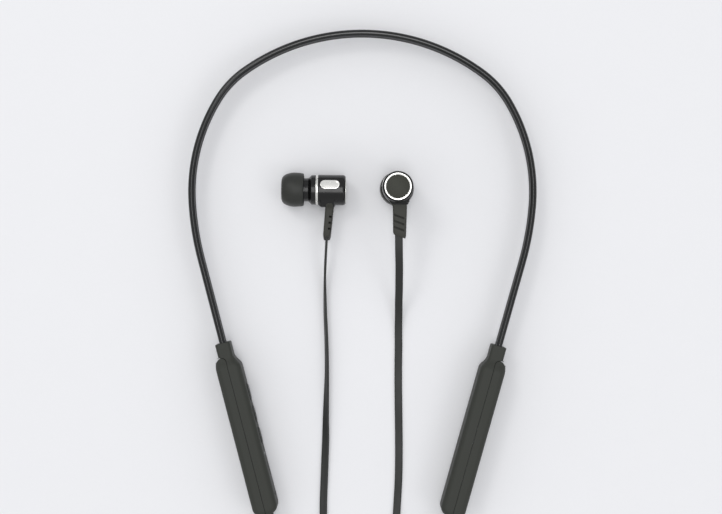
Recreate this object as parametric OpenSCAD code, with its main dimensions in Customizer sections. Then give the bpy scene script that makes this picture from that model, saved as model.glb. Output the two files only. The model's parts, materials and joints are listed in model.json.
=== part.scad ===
// Neckband earphones: a springy silicone neckband, a control pod on its left end, a battery pod on
// its right end, and two earbuds on flat cords. All lengths are in millimetres.
// The set lies flat: +X is on the battery pod's side, +Y runs to the arch, +Z is up.
// The origin is under the middle of the set, on the surface that it lies on.

/* [Neckband] */
// Thickness of the silicone band across its arc
band_w = 2.4; // [2.2:0.1:3]
// Height of the band
band_h = 6.5; // [5:0.5:8]
// Radii of the band's arcs, from the arch's top down to a pod
arch_r = [77, 37, 67, 112]; // [30:1:120]
// Angles that the arcs turn through
arch_a = [36, 23, 35.2, 11]; // [8:0.2:40]
// Straight stretch between the last arc and a pod
straight_len = 33; // [25:1:40]
// Diameter of the spring wire in the band
wire_d = 1; // [0.8:0.1:1.2]
// Diameter of the lead that joins the two pods
lead_d = 1; // [0.8:0.1:1.2]

/* [Pods] */
// Length of a pod with its collar
pod_len = 67; // [64:1:72]
// Width of a pod, seen from above
pod_w = 9.5; // [9.5:0.1:10.5]
// Height of a pod
pod_h = 13; // [13:0.5:14]
// Radius of a pod's long edges
pod_edge_r = 2.3; // [2:0.1:3]
// Radius of the corners at a pod's lower end
pod_end_r = 3.4; // [3:0.1:3.8]
// Length of the collar that grips the band
collar_len = 5; // [4.5:0.1:5.5]
// Width and height of the collar
collar_size = [5.6, 9.5]; // [5:0.1:10]
// Length of the shoulder that widens from the collar to the pod
shoulder_len = 5; // [4.5:0.5:6]
// Wall of a pod's shells
wall = 1.2; // [1.1:0.1:1.3]
// Distance of the shells' parting line from the pod's middle
seam_x = 0.1; // [-0.3:0.1:0.3]

/* [Controls] */
// Length and width of a button
button_size = [6.6, 4.4]; // [4:0.2:7]
// Distance from one button to the next
button_pitch = 8.5; // [8:0.1:9]
// Distance of the middle button from the pod's upper end
button_mid = 29; // [27:0.5:30]
// How far a button stands out of the pod
button_proud = 0.4; // [0.3:0.1:0.6]
// How far a button travels
button_travel = 0.3; // [0.2:0.05:0.3]

/* [Earbuds] */
// Diameter of an earbud's body
body_d = 11.5; // [11.3:0.1:12]
// Length of an earbud's body
body_len = 10.6; // [10.6:0.1:11]
// Diameter of the silicone ear tip
tip_d = 13; // [12.5:0.1:13.5]
// Length of an earbud from its rear face to the front of its ear tip
bud_len = 24.5; // [24.3:0.1:25]
// Outer diameter of the bright ring on the rear face
rear_ring_d = 10; // [9.8:0.1:10.2]
// Middle of the left earbud's rear face, which looks towards +X
left_bud_at = [-6.2, 31.4, 6.5]; // [-10:0.1:40]
// Middle of the right earbud's rear face, which looks up
right_bud_at = [13.1, 32.2, 24.5]; // [10:0.1:40]

/* [Cords] */
// Width of the flat cord
cord_w = 2.9; // [2.6:0.1:3.2]
// Thickness of the flat cord
cord_t = 0.9; // [0.8:0.1:1]

/* [Hidden] */
$fn = 48;

rubber = "#2e302e";
shell_grey = "#3c3e38";
bright = "#e6e6e0";
gloss = "#242422";
board_green = "#1d4a30";
steel = "#9a9c9e";
copper = "#b5733a";

// ---- The band's line, from the arch's top (0, arch_top) down the right-hand side ----
last_arc = len(arch_r);

// Direction of the band's line after n arcs, in degrees from +X
function heading(n) = n == 0 ? 0 : heading(n - 1) - arch_a[n - 1];

function polar(r, a) = [r * cos(a), r * sin(a)];

// Where the line is after n arcs, counted from the arch's top
function arc_end(n) = n == 0 ? [0, 0] :
    arc_end(n - 1) + polar(arch_r[n - 1], heading(n - 1) - 90) + polar(arch_r[n - 1], heading(n) + 90);

tilt = 90 + heading(last_arc);  // a pod's lean, negative: its lower end is nearer the middle
pod_rel = arc_end(last_arc) + polar(straight_len, heading(last_arc));
low_rel = pod_rel.y - (pod_len - pod_end_r) * cos(tilt) + (pod_w / 2 - pod_end_r) * sin(tilt) - pod_end_r;
arch_top = -(low_rel + band_w / 2) / 2;
mid_z = pod_h / 2;
pod_at = [pod_rel.x, pod_rel.y + arch_top, mid_z];

// ---- The band's inside ----
joint_gap = 0.3;
left_start = band_w / 2 + joint_gap;  // where the left half of the band begins, beside the arch's top
core_z = 1.3;                         // spring wire this far above the band's middle, lead as far below
core_clear = 0.1;
channel_w = 1.2;                      // the channel in the band that holds the wire and the lead
channel_h = 2 * core_z + channel_w;
core_start = 0.5;                     // the channel begins this far into the band, its cores as far again
arc_step = 5;                         // degrees from one ring of the band to the next
ring_points = 16;
sleeve_in = 4;                        // how far the band goes into the collar
wire_in = 8;
lead_in = 12.4;

// ---- The pods' inside, in a pod's own frame: +X outward, -Y down the pod ----
face_x = -pod_w / 2;
cavity_top = collar_len + shoulder_len - 1;
cavity_len = pod_len - wall - cavity_top;
cavity_r = 1.7;
tongue_top = 5.3;    // the outer shell's upper end, below the collar
tongue_r = 2;
board_x = [-0.6, 0.2];
board_y = [-12.5, -62];
board_half_h = 4.7;
switch_x = -2;
switch_size = [3.6, 3];
switch_floor = -1;    // the bottom of the well that a plunger works in
plunger_gap = 0.2;    // what a pressed plunger leaves free below it
plunger_d = 1.4;
key_clear = 0.2;
flange_lip = 0.5;
flange_t = 0.5;
flange_x = face_x + wall + 0.1;
gland_d = 4.4;
gland_tail = 8;
mic_y = -15;
mic_t = 0.9;
mic_hole_d = 1;
lamp_d = 1.3;
lamp_y = -44.5;
usb_y = -54.5;
usb_shell = [7.6, 2.9];
usb_mouth = [6.9, 1.9];
usb_depth = 5;
flap_len = 11.4;
flap_h = 5.2;
flap_t = 0.7;
flap_clear = 0.2;
flap_hinge_y = usb_y - flap_len / 2 + flap_t / 2;

button_names = ["up", "play", "down"];
function button_y(i) = -button_mid - (i - 1) * button_pitch;

// ---- The earbuds, in an earbud's own frame: rear face at z = 0, nozzle towards -Z, cord towards -Y ----
body_r = body_d / 2;
rear_edge_r = 1.3;
body_wall = 0.9;
trim_t = 0.9;
ring_line = 0.65;
disc_sink = 0.15;
rear_ring_t = 0.8;
core_r = 2.82;      // inside of the ear tip's core
seat_r = 4.3;       // where the driver sits in the nozzle part
collar_r = 5.6;
neck_r = 4.4;
stem_r = 2.45;
barb_r = 2.75;      // the ridge that holds the ear tip
bore = 1.7;         // radius of the sound channel
nozzle_end = -21.6;
stem_z = -6.2;      // middle of the strain relief's upper end
relief_x = 0.9;     // the relief's middle, off the earbud's middle
relief_top = -6.5;
relief_w = [5.3, 4.8];
relief_end = [-17.5, -19.2];
relief_half_t = 1.6;
relief_low_z = [stem_z - 2.4, stem_z + 0.4];  // where the relief's faces end
slot_start = -9.3;  // the uppermost slot's line meets the relief's side here
slot_pitch = 2.25;
slot_t = 0.7;
slot_angle = 20;
slot_floor = [-6, -0.22];  // where the first slot's floor is, and how much deeper each next one is
neck_z = [-9.7, -4.2];        // the body's short neck that the relief plugs into
badge_size = [7.3, 3.5];
badge_back = body_len / 2 + 0.75;  // the plate's middle, from the rear face
badge_turn = 20;
badge_t = 0.35;
badge_proud = 0.1;

// ---- The cords' routes: [x, y, z, turn]; turn 0 lies flat on its face, turn 90 stands on its edge ----
left_route = [
    [-32.6, -99.0, 6.5, 90], [-31.6, -103.0, 6.3, 90], [-30.8, -107.0, 5.3, 90],
    [-30.4, -111.0, 3.8, 90], [-30.4, -115.0, 2.4, 90], [-30.2, -119.0, 1.7, 90],
    [-29.0, -123.2, 1.6, 90], [-26.4, -126.6, 1.6, 90], [-22.4, -128.0, 1.6, 90],
    [-18.4, -126.6, 1.6, 90], [-15.8, -123.2, 1.6, 90], [-14.4, -119.0, 1.6, 85],
    [-13.8, -114.5, 1.6, 75], [-13.6, -110.0, 1.5, 55], [-13.6, -105.0, 1.3, 35],
    [-13.7, -99.5, 1.0, 18], [-13.7, -93.5, 0.8, 8], [-13.7, -87.0, 0.7, 6],
    [-13.5, -80.0, 0.8, 10], [-13.3, -72.0, 0.9, 15], [-13.1, -64.0, 1.0, 25],
    [-13.1, -56.0, 1.3, 42], [-13.0, -48.0, 1.5, 55], [-12.9, -40.0, 1.6, 66],
    [-13.0, -32.0, 1.6, 70], [-13.3, -24.0, 1.6, 72], [-13.7, -16.5, 1.6, 75],
    [-13.9, -10.0, 1.7, 80], [-14.0, -4.0, 2.4, 86], [-13.9, 1.5, 3.8, 90],
    [-13.7, 6.5, 5.1, 90], [-13.5, 10.8, 5.8, 90], [-13.3, 14.8, 6.0, 90],
];
right_route = [
    [32.6, -99.0, 6.5, 90], [31.6, -103.0, 6.3, 90], [30.8, -107.0, 5.3, 90],
    [30.4, -111.0, 3.8, 90], [30.4, -115.0, 2.4, 90], [30.2, -119.0, 1.7, 90],
    [29.2, -123.2, 1.6, 90], [26.8, -126.6, 1.6, 90], [22.9, -128.0, 1.6, 90],
    [19.0, -126.6, 1.6, 90], [16.4, -123.2, 1.6, 90], [14.8, -119.0, 1.6, 85],
    [14.2, -114.5, 1.6, 75], [14.0, -110.0, 1.5, 55], [14.0, -105.0, 1.3, 35],
    [14.2, -99.5, 1.0, 18], [14.4, -93.5, 0.7, 5], [14.7, -87.0, 0.5, 0],
    [15.0, -80.0, 0.5, 0], [15.1, -72.0, 0.5, 0], [15.0, -63.0, 0.5, 0],
    [14.8, -54.0, 0.5, 0], [14.6, -45.0, 0.5, 0], [14.5, -36.0, 0.5, 0],
    [14.5, -28.0, 0.5, 0], [14.4, -21.5, 0.9, 0], [14.4, -16.0, 2.3, 0],
    [14.3, -11.0, 4.9, 0], [14.3, -6.5, 8.0, 0], [14.2, -2.0, 11.3, 0],
    [14.1, 3.0, 14.4, 0], [13.9, 8.0, 16.3, 0], [13.8, 12.0, 17.1, 0],
    [13.7, 15.4, 17.5, 0],
];

// ---- Shared shapes ----
module rounded_rect(w, h, r) {
    square([w - 2 * r, h], center = true);
    square([w, h - 2 * r], center = true);
    for (sx = [-1, 1], sy = [-1, 1])
        translate([sx * (w / 2 - r), sy * (h / 2 - r)]) circle(r);
}

// A stadium: a long shape with round ends, its length along Y
module stadium(l, w) {
    square([w, l - w], center = true);
    for (s = [-1, 1]) translate([0, s * (l - w) / 2]) circle(d = w);
}

// Points round a stadium of width w, the last ones going down its other side
function stadium_ring(w, h) = [for (k = [0 : ring_points - 1])
    let (a = 180 * k / (ring_points / 2 - 1) - (k < ring_points / 2 ? 0 : 180 / (ring_points / 2 - 1)))
        [0, (k < ring_points / 2 ? 1 : -1) * (h - w) / 2] + polar(w / 2, a)];

function round_ring(d, z) = [for (k = [0 : 7]) [0, z] + polar(d / 2, 45 * k)];

// Places along the band's right-hand line, as [x, y, heading], from skip past the arch's top
// to more past the collar's upper end
function band_line(skip, more) = concat(
    [for (i = [0 : last_arc - 1])
        let (c = arc_end(i) + polar(arch_r[i], heading(i) - 90),
             first = i == 0 ? asin(skip / arch_r[0]) : 0, n = ceil(arch_a[i] / arc_step))
            for (k = [0 : n - 1]) let (h = heading(i) - first - (arch_a[i] - first) * k / n)
                concat(c + polar(arch_r[i], h + 90), h)],
    [for (l = [0, straight_len + more])
        concat(arc_end(last_arc) + polar(l, heading(last_arc)), heading(last_arc))]);

// A ring of the band: p.x points out of the arch, p.y up
function band_ring(at, ring) = [for (p = ring) let (u = polar(p.x, at[2] + 90))
    [at.x + u.x, at.y + arch_top + u.y, mid_z + p.y]];

// Faces between rings of n points each, of which the first one is ring number from
function ring_sides(n, from, rings) = [for (i = [from : from + rings - 2], k = [0 : n - 1])
    let (a = i * n + k, b = i * n + (k + 1) % n) each [[a, b, b + n], [a, b + n, a + n]]];

function flipped(faces) = [for (f = faces) [f[0], f[2], f[1]]];

// A closed bar through rings of points
module swept(rings) {
    n = len(rings[0]);
    last = len(rings) - 1;
    caps = [[for (k = [n - 1 : -1 : 0]) k], [for (k = [0 : n - 1]) last * n + k]];
    polyhedron(points = [for (r = rings) each r],
        faces = concat(ring_sides(n, 0, last + 1), caps), convexity = 8);
}

// A hose: outer rings, and inner rings for a channel that is blind at the start and open at the end
module swept_hose(outer, inner) {
    n = len(outer[0]);
    m = len(outer);
    total = m + len(inner);
    caps = [[for (k = [n - 1 : -1 : 0]) k], [for (k = [0 : n - 1]) m * n + k]];
    mouth = [for (k = [0 : n - 1]) let (a = (m - 1) * n, b = (total - 1) * n, j = (k + 1) % n)
        each [[a + k, a + j, b + j], [a + k, b + j, b + k]]];
    polyhedron(points = [for (r = concat(outer, inner)) each r],
        faces = concat(ring_sides(n, 0, m), flipped(ring_sides(n, m, len(inner))), caps, mouth),
        convexity = 8);
}

module in_pod(side) {
    if (side == "right") translate(pod_at) rotate([0, 0, tilt]) children();
    else mirror([1, 0, 0]) translate(pod_at) rotate([0, 0, tilt]) children();
}

module in_bud(side) {
    if (side == "right") translate(right_bud_at) children();
    else translate(left_bud_at) rotate([0, 90, 0]) children();
}

// Extrudes a Y-Z outline along +X, from x = from to x = to. The outline's X becomes -Z.
module across(from, to) {
    translate([from, 0, 0]) rotate([0, 90, 0]) linear_extrude(to - from) children();
}

// Extrudes an X-Z outline down the pod, from y = -from to y = -to.
module down(from, to) {
    translate([0, -from, 0]) rotate([90, 0, 0]) linear_extrude(to - from) children();
}

// ---- The neckband ----
module band_sleeve(start, nose) {
    outer = [for (at = band_line(start, sleeve_in)) band_ring(at, stadium_ring(band_w, band_h))];
    inner = [for (at = band_line(start + core_start, sleeve_in))
        band_ring(at, stadium_ring(channel_w, channel_h))];
    color(rubber) swept_hose(concat(nose, outer), inner);
}

// The right half ends in a half round at the arch's top, where the band flexes.
function round_nose() = [for (a = [80 : -20 : 20]) let (w = band_w * cos(a))
    band_ring([-band_w / 2 * sin(a), 0, 0], stadium_ring(w, band_h - band_w + w))];

module band_sleeve_left() {
    mirror([1, 0, 0]) band_sleeve(left_start, []);
}

module band_sleeve_right() {
    band_sleeve(0, round_nose());
}

module spring_wire(start) {
    color(steel) swept([for (at = band_line(start, wire_in)) band_ring(at, round_ring(wire_d, core_z))]);
}

module band_lead(start) {
    color(copper) swept([for (at = band_line(start, lead_in)) band_ring(at, round_ring(lead_d, -core_z))]);
}

module spring_wire_left() {
    mirror([1, 0, 0]) spring_wire(left_start + 2 * core_start);
}

module spring_wire_right() {
    spring_wire(2 * core_start);
}

module band_lead_left() {
    mirror([1, 0, 0]) band_lead(left_start + 2 * core_start);
}

module band_lead_right() {
    band_lead(2 * core_start);
}

// ---- The pods' shells ----
shoulder_steps = 8;
corner_steps = 6;

// How a shoulder widens, as [out, down] shares: in an S, or in a quarter of an ellipse
function s_curve(t) = [(1 - cos(180 * t)) / 2, t];
function round_curve(t) = [sin(90 * t), 1 - cos(90 * t)];

// One side of a pod's outline, from its upper end to its lower end
function pod_side(narrow, full, r, round) = concat(
    [[narrow, 0]],
    [for (i = [0 : shoulder_steps])
        let (t = i / shoulder_steps, s = round ? round_curve(t) : s_curve(t))
            [narrow + (full - narrow) * s.x, -collar_len - shoulder_len * s.y]],
    [for (i = [0 : corner_steps]) let (a = -90 * i / corner_steps)
        [full - r + r * cos(a), -pod_len + r + r * sin(a)]]);

function reversed(v) = [for (i = [len(v) - 1 : -1 : 0]) v[i]];

// A pod's outline, with a round shoulder on its +X side if asked
module pod_outline(narrow, full, r, round) {
    polygon(concat(pod_side(narrow, full, r, round),
        [for (p = reversed(pod_side(narrow, full, r, false))) [-p.x, p.y]]));
}

module pod_body() {
    intersection() {
        linear_extrude(pod_h + 1, center = true)
            pod_outline(collar_size[0] / 2, pod_w / 2, pod_end_r, true);
        across(-pod_w, pod_w) pod_outline(collar_size[1] / 2, pod_h / 2, pod_edge_r, false);
        down(collar_len, pod_len) rounded_rect(pod_w, pod_h, pod_edge_r);
    }
    down(0, collar_len) rounded_rect(collar_size[0], collar_size[1], pod_edge_r / 2);
}

// What is hollow in a pod: its cavity, the collar's socket for the band, and the cord's exit
module pod_hollow() {
    down(cavity_top, cavity_top + cavity_len)
        rounded_rect(pod_w - 2 * wall, pod_h - 2 * wall, cavity_r);
    down(-1, sleeve_in) stadium(band_h, band_w);
    down(sleeve_in - 1, cavity_top + 1) translate([0, core_z]) circle(d = wire_d + core_clear);
    down(sleeve_in - 1, cavity_top + 1) translate([0, -core_z]) circle(d = lead_d + core_clear);
    down(pod_len - 2 * wall, pod_len + 1) circle(d = gland_d + core_clear);
}

// The part of a pod that the outer shell takes: all that lies outside the parting line
module outer_zone() {
    corner = [for (i = [0 : corner_steps]) let (a = 90 + 90 * i / corner_steps)
        [seam_x + tongue_r + tongue_r * cos(a), -tongue_top - tongue_r + tongue_r * sin(a)]];
    linear_extrude(2 * pod_h, center = true)
        polygon(concat([[pod_w, -tongue_top]], corner, [[seam_x, -2 * pod_len], [pod_w, -2 * pod_len]]));
}

module inner_shell() {
    color(shell_grey) difference() {
        pod_body();
        outer_zone();
        pod_hollow();
    }
}

module outer_shell() {
    color(shell_grey) difference() {
        intersection() {
            pod_body();
            outer_zone();
        }
        pod_hollow();
    }
}

module cord_gland() {
    color(rubber) {
        down(cavity_top + cavity_len - 1, cavity_top + cavity_len) circle(d = gland_d + 1.2);
        down(cavity_top + cavity_len, pod_len) circle(d = gland_d);
        translate([0, -pod_len, 0]) rotate([90, 0, 0])
            cylinder(d1 = gland_d, d2 = gland_d - 1, h = gland_tail);
    }
}

// ---- The left pod and its controls ----
module flap_pocket() {
    across(face_x - 1, face_x + flap_t + flap_clear)
        translate([0, usb_y]) square([flap_h + 2 * flap_clear, flap_len + 2 * flap_clear], center = true);
}

module left_inner_shell() {
    in_pod("left") difference() {
        inner_shell();
        for (i = [0 : len(button_names) - 1])
            across(face_x - 1, face_x + 2 * wall) translate([0, button_y(i)])
                stadium(button_size[0] + 2 * key_clear, button_size[1] + 2 * key_clear);
        flap_pocket();
        across(face_x - 1, face_x + 2 * wall) translate([0, usb_y])
            square([usb_shell[1] + core_clear, usb_shell[0] + core_clear], center = true);
        across(face_x - 1, face_x + 2 * wall) translate([0, mic_y]) circle(d = mic_hole_d);
        across(face_x - 1, face_x + 2 * wall) translate([0, lamp_y]) circle(d = lamp_d + core_clear);
    }
}

module left_outer_shell() {
    in_pod("left") outer_shell();
}

module left_cord_gland() {
    in_pod("left") cord_gland();
}

// The board is cut away round the charging socket, which sits through it.
module main_board() {
    color(board_green) in_pod("left") difference() {
        across(board_x[0], board_x[1]) translate([0, (board_y[0] + board_y[1]) / 2])
            square([2 * board_half_h, board_y[0] - board_y[1]], center = true);
        across(board_x[0] - 1, board_x[1] + 1) translate([0, usb_y])
            square([usb_shell[1] + 0.4, usb_shell[0] + 0.4], center = true);
    }
}

module radio_chip() {
    color("#1a1a1a") in_pod("left")
        translate([board_x[1], button_y(1), 0]) across(0, 0.9) square(6, center = true);
}

module antenna() {
    color("#8a8f99") in_pod("left")
        translate([board_x[1], board_y[0] - 2.2, 0]) across(0, 1.1) square([7, 2], center = true);
}

module microphone() {
    color(steel) in_pod("left")
        translate([board_x[0] - mic_t, mic_y, 0]) across(0, mic_t) square([1.9, 2.8], center = true);
}

module microphone_boot() {
    color(rubber) in_pod("left")
        across(face_x + wall, board_x[0] - mic_t) translate([0, mic_y]) difference() {
            circle(d = 3 * mic_hole_d);
            circle(d = mic_hole_d);
        }
}

module button_switches() {
    color("#c9c9c4") in_pod("left")
        for (i = [0 : len(button_names) - 1])
            translate([0, button_y(i), 0]) difference() {
                across(switch_x, board_x[0]) square([switch_size[1], switch_size[0]], center = true);
                across(switch_x - 1, switch_floor) circle(d = plunger_d + 2 * key_clear);
            }
}

module light_pipe() {
    color("#dfe6ea") in_pod("left")
        across(face_x, board_x[0]) translate([0, lamp_y]) circle(d = lamp_d);
}

module usb_socket() {
    color(steel) in_pod("left")
        translate([0, usb_y, 0]) {
            difference() {
                across(face_x + flap_t + flap_clear, face_x + flap_t + flap_clear + usb_depth)
                    square([usb_shell[1], usb_shell[0]], center = true);
                across(face_x, face_x + usb_depth) square([usb_mouth[1], usb_mouth[0]], center = true);
            }
            across(face_x + flap_t + 2, face_x + usb_depth) square([0.6, 3.6], center = true);
        }
}

// A rubber flap with a plug on its inside, hinged at its lower end
module usb_cover() {
    color(rubber) in_pod("left") {
        across(face_x, face_x + flap_t) translate([0, usb_y + flap_t / 4])
            square([flap_h, flap_len - flap_t / 2], center = true);
        translate([face_x + flap_t / 2, flap_hinge_y, 0])
            cylinder(d = flap_t, h = flap_h, center = true);
        across(face_x + flap_t, face_x + flap_t + 1) translate([0, usb_y])
            square([usb_mouth[1] - 0.5, usb_mouth[0] - 0.5], center = true);
    }
}

module button(i) {
    color(rubber) in_pod("left") translate([0, button_y(i), 0]) {
        across(face_x - button_proud, flange_x) stadium(button_size[0], button_size[1]);
        across(flange_x, flange_x + flange_t)
            stadium(button_size[0] + 2 * flange_lip, button_size[1] + 2 * flange_lip);
    }
}

module plunger(i) {
    color("#8f2f28") in_pod("left")
        across(flange_x + flange_t, switch_floor - plunger_gap - button_travel)
            translate([0, button_y(i)]) circle(d = plunger_d);
}

module volume_up_button() {
    button(0);
}

module play_button() {
    button(1);
}

module volume_down_button() {
    button(2);
}

module volume_up_plunger() {
    plunger(0);
}

module play_plunger() {
    plunger(1);
}

module volume_down_plunger() {
    plunger(2);
}

// ---- The right pod ----
module right_inner_shell() {
    in_pod("right") inner_shell();
}

module right_outer_shell() {
    in_pod("right") outer_shell();
}

module right_cord_gland() {
    in_pod("right") cord_gland();
}

module battery() {
    color("#b9bcc0") in_pod("right") down(14, 53) rounded_rect(4.4, 10, 1.2);
}

module battery_board() {
    color(board_green) in_pod("right") down(53.5, 62) square([0.8, 9], center = true);
}

// ---- The earbuds ----
module turned(outline) {
    rotate_extrude($fn = 96) polygon(outline);
}

function quarter(c, r, from, to) =
    [for (i = [0 : corner_steps]) c + polar(r, from + (to - from) * i / corner_steps)];

module badge_outline(clear) {
    rotate([0, 0, 180 - badge_turn]) rotate([0, 90, 0]) linear_extrude(body_d)
        translate([badge_back, 0]) rotate([0, 0, 90])
            stadium(badge_size[0] + clear, badge_size[1] + clear);
}

module bud_shape() {
    turned(concat([[0, -body_len], [0, 0]],
        quarter([body_r - rear_edge_r, -rear_edge_r], rear_edge_r, 90, 0), [[body_r, -body_len]]));
    translate([0, 0, neck_z[0]]) linear_extrude(neck_z[1] - neck_z[0])
        polygon([[-4.4, -3.6], [4.8, -3], [3 + relief_x, relief_top], [relief_x - 3, relief_top]]);
}

module bud_body(side) {
    color(gloss) in_bud(side) difference() {
        bud_shape();
        translate([0, 0, -rear_ring_t]) cylinder(d = rear_ring_d + 0.1, h = 1);
        translate([0, 0, -2.6]) cylinder(d = 6.2, h = 2);
        translate([0, 0, -body_len - 1]) cylinder(r = body_r - body_wall, h = body_len - 2.4);
        translate([relief_x, 0, stem_z]) rotate([90, 0, 0]) cylinder(d = 2, h = body_d);
        difference() {
            badge_outline(0.1);
            translate([0, 0, -body_len]) cylinder(r = body_r - badge_t + badge_proud, h = body_len);
        }
    }
}

module badge_plate(side) {
    color(bright) in_bud(side) intersection() {
        badge_outline(0);
        translate([0, 0, -body_len]) difference() {
            cylinder(r = body_r + badge_proud, h = body_len);
            translate([0, 0, -1]) cylinder(r = body_r - badge_t + badge_proud, h = body_len + 2);
        }
    }
}

module rear_ring(side) {
    color(bright) in_bud(side) translate([0, 0, -rear_ring_t]) difference() {
        cylinder(d = rear_ring_d, h = rear_ring_t);
        translate([0, 0, -1]) cylinder(d = rear_ring_d - 2 * ring_line, h = 3);
    }
}

module rear_disc(side) {
    color("#3a3a30") in_bud(side) translate([0, 0, -rear_ring_t])
        cylinder(d = rear_ring_d - 2 * ring_line - 0.1, h = rear_ring_t - disc_sink);
}

module parking_magnet(side) {
    color(steel) in_bud(side) translate([0, 0, -2.6]) cylinder(d = 6, h = 2.6 - rear_ring_t);
}

module trim_ring(side) {
    color(bright) in_bud(side) translate([0, 0, -body_len - trim_t]) difference() {
        cylinder(d = body_d - 0.2, h = trim_t);
        translate([0, 0, -1]) cylinder(r = body_r - body_wall, h = 3);
    }
}

module nozzle(side) {
    spigot_r = body_r - body_wall - 0.05;
    collar_z = -body_len - trim_t;
    color(gloss) in_bud(side) turned([
        [seat_r, -10.1], [spigot_r, -10.1], [spigot_r, collar_z], [collar_r, collar_z],
        [collar_r, -13.1], [neck_r, -14.3], [neck_r, -16.3], [stem_r, -16.5], [stem_r, -19.6],
        [barb_r, -19.9], [barb_r, -20.4], [stem_r, nozzle_end], [bore, nozzle_end],
        [bore, -13.6], [seat_r, -12.4]]);
}

module nozzle_mesh(side) {
    color(steel) in_bud(side) translate([0, 0, nozzle_end + 0.2]) cylinder(r = bore - 0.05, h = 0.3);
}

module ear_tip(side) {
    dome = [for (i = [0 : 9]) let (a = 10 * i)
        [tip_d / 2 - 2.8 * (1 - cos(a)), -20 - (bud_len - 20) * sin(a)]];
    color("#3e403a") in_bud(side) turned(concat(
        [[5.6, -16.1], [6.15, -16.2], [6.35, -17.2], [6.45, -18.6]], dome,
        [[bore + 0.2, -bud_len], [bore + 0.2, -22.3], [core_r, -22.3], [core_r, -16.7], [3.7, -16.7],
         [3.7, -21.9], [4.5, -22.8], [5.3, -22.2], [5.8, -20.6], [5.95, -19], [5.85, -17.3]]));
}

module driver_frame(side) {
    color("#55585c") in_bud(side) turned([
        [1, -6.8], [4, -6.8], [4.75, -7.6], [4.75, -10], [4.3, -10], [4.3, -8], [3.6, -7.4], [1, -7.4]]);
}

module driver_magnet(side) {
    color(steel) in_bud(side) translate([0, 0, -8.6]) cylinder(r = 2.6, h = 1.2);
}

module voice_coil(side) {
    color(copper) in_bud(side) translate([0, 0, -9.4]) difference() {
        cylinder(r = 3.1, h = 1.2);
        translate([0, 0, -1]) cylinder(r = 2.85, h = 3);
    }
}

module diaphragm(side) {
    color("#c8c4b0") in_bud(side) turned([
        [0, -9.9], [1.6, -9.8], [2.8, -9.4], [3.2, -9.4], [3.7, -9.6], [4.25, -9.4],
        [4.25, -9.55], [3.7, -9.75], [3.2, -9.55], [2.8, -9.55], [1.6, -9.95], [0, -10.05]]);
}

// A flat tapered boot with slanted slots on both faces, which let it bend
module strain_relief(side) {
    color("#42423a") in_bud(side) {
        difference() {
            intersection() {
                translate([relief_x, 0, -body_d]) linear_extrude(body_d) polygon([
                    [-relief_w[0] / 2, relief_top], [relief_w[0] / 2, relief_top],
                    [relief_w[1] / 2, relief_end[1]], [-relief_w[1] / 2, relief_end[0]]]);
                across(-body_d, body_d) polygon([
                    [-stem_z - relief_half_t, relief_top], [-stem_z + relief_half_t, relief_top],
                    [-relief_low_z[0], relief_end[1]], [-relief_low_z[1], relief_end[1]]]);
            }
            for (i = [0 : 2]) {
                translate([relief_x - relief_w[0], slot_start - i * slot_pitch,
                           slot_floor[0] + i * slot_floor[1]])
                    rotate([0, 0, -slot_angle]) cube([relief_w[0] + 2.1, slot_t, body_d]);
                translate([relief_x - 1.2, slot_start - 2.4 - i * slot_pitch, stem_z - 1.2 - body_d])
                    rotate([0, 0, -slot_angle]) cube([2 * relief_w[0], slot_t, body_d]);
            }
        }
        translate([relief_x, relief_top, stem_z]) rotate([-90, 0, 0]) cylinder(d = 1.9, h = 1.5);
    }
}

// ---- The cords: a flat eight-sided tube swept along its route ----
function unit(v) = v / norm(v);

function place(p) = [p.x, p.y, p.z];

function along(route, i) = unit(place(route[min(i + 1, len(route) - 1)]) - place(route[max(i - 1, 0)]));

function cord_ring(route, i) =
    let (t = along(route, i), level = unit(cross(t, [0, 0, 1])), rise = cross(level, t),
         wide = cos(route[i][3]) * level + sin(route[i][3]) * rise, thick = cross(t, wide),
         a = cord_w / 2, b = cord_t / 2, bevel = cord_t * 0.28)
    [for (c = [[a, b - bevel], [a - bevel, b], [bevel - a, b], [-a, b - bevel],
               [-a, bevel - b], [bevel - a, -b], [a - bevel, -b], [a, bevel - b]])
        place(route[i]) + c[0] * wide + c[1] * thick];

module cord(route) {
    color("#3e403c") swept([for (i = [0 : len(route) - 1]) cord_ring(route, i)]);
}

module left_cord() {
    cord(left_route);
}

module right_cord() {
    cord(right_route);
}

band_sleeve_left();
band_sleeve_right();
spring_wire_left();
spring_wire_right();
band_lead_left();
band_lead_right();
left_inner_shell();
left_outer_shell();
left_cord_gland();
main_board();
radio_chip();
antenna();
microphone();
microphone_boot();
button_switches();
light_pipe();
usb_socket();
usb_cover();
volume_up_button();
play_button();
volume_down_button();
volume_up_plunger();
play_plunger();
volume_down_plunger();
right_inner_shell();
right_outer_shell();
right_cord_gland();
battery();
battery_board();
ear_tip("left");  // left_ear_tip
nozzle("left");  // left_nozzle
nozzle_mesh("left");  // left_nozzle_mesh
trim_ring("left");  // left_trim_ring
bud_body("left");  // left_bud_body
badge_plate("left");  // left_badge_plate
rear_ring("left");  // left_rear_ring
rear_disc("left");  // left_rear_disc
parking_magnet("left");  // left_parking_magnet
driver_frame("left");  // left_driver_frame
driver_magnet("left");  // left_driver_magnet
voice_coil("left");  // left_voice_coil
diaphragm("left");  // left_diaphragm
strain_relief("left");  // left_strain_relief
ear_tip("right");  // right_ear_tip
nozzle("right");  // right_nozzle
nozzle_mesh("right");  // right_nozzle_mesh
trim_ring("right");  // right_trim_ring
bud_body("right");  // right_bud_body
badge_plate("right");  // right_badge_plate
rear_ring("right");  // right_rear_ring
rear_disc("right");  // right_rear_disc
parking_magnet("right");  // right_parking_magnet
driver_frame("right");  // right_driver_frame
driver_magnet("right");  // right_driver_magnet
voice_coil("right");  // right_voice_coil
diaphragm("right");  // right_diaphragm
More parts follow.
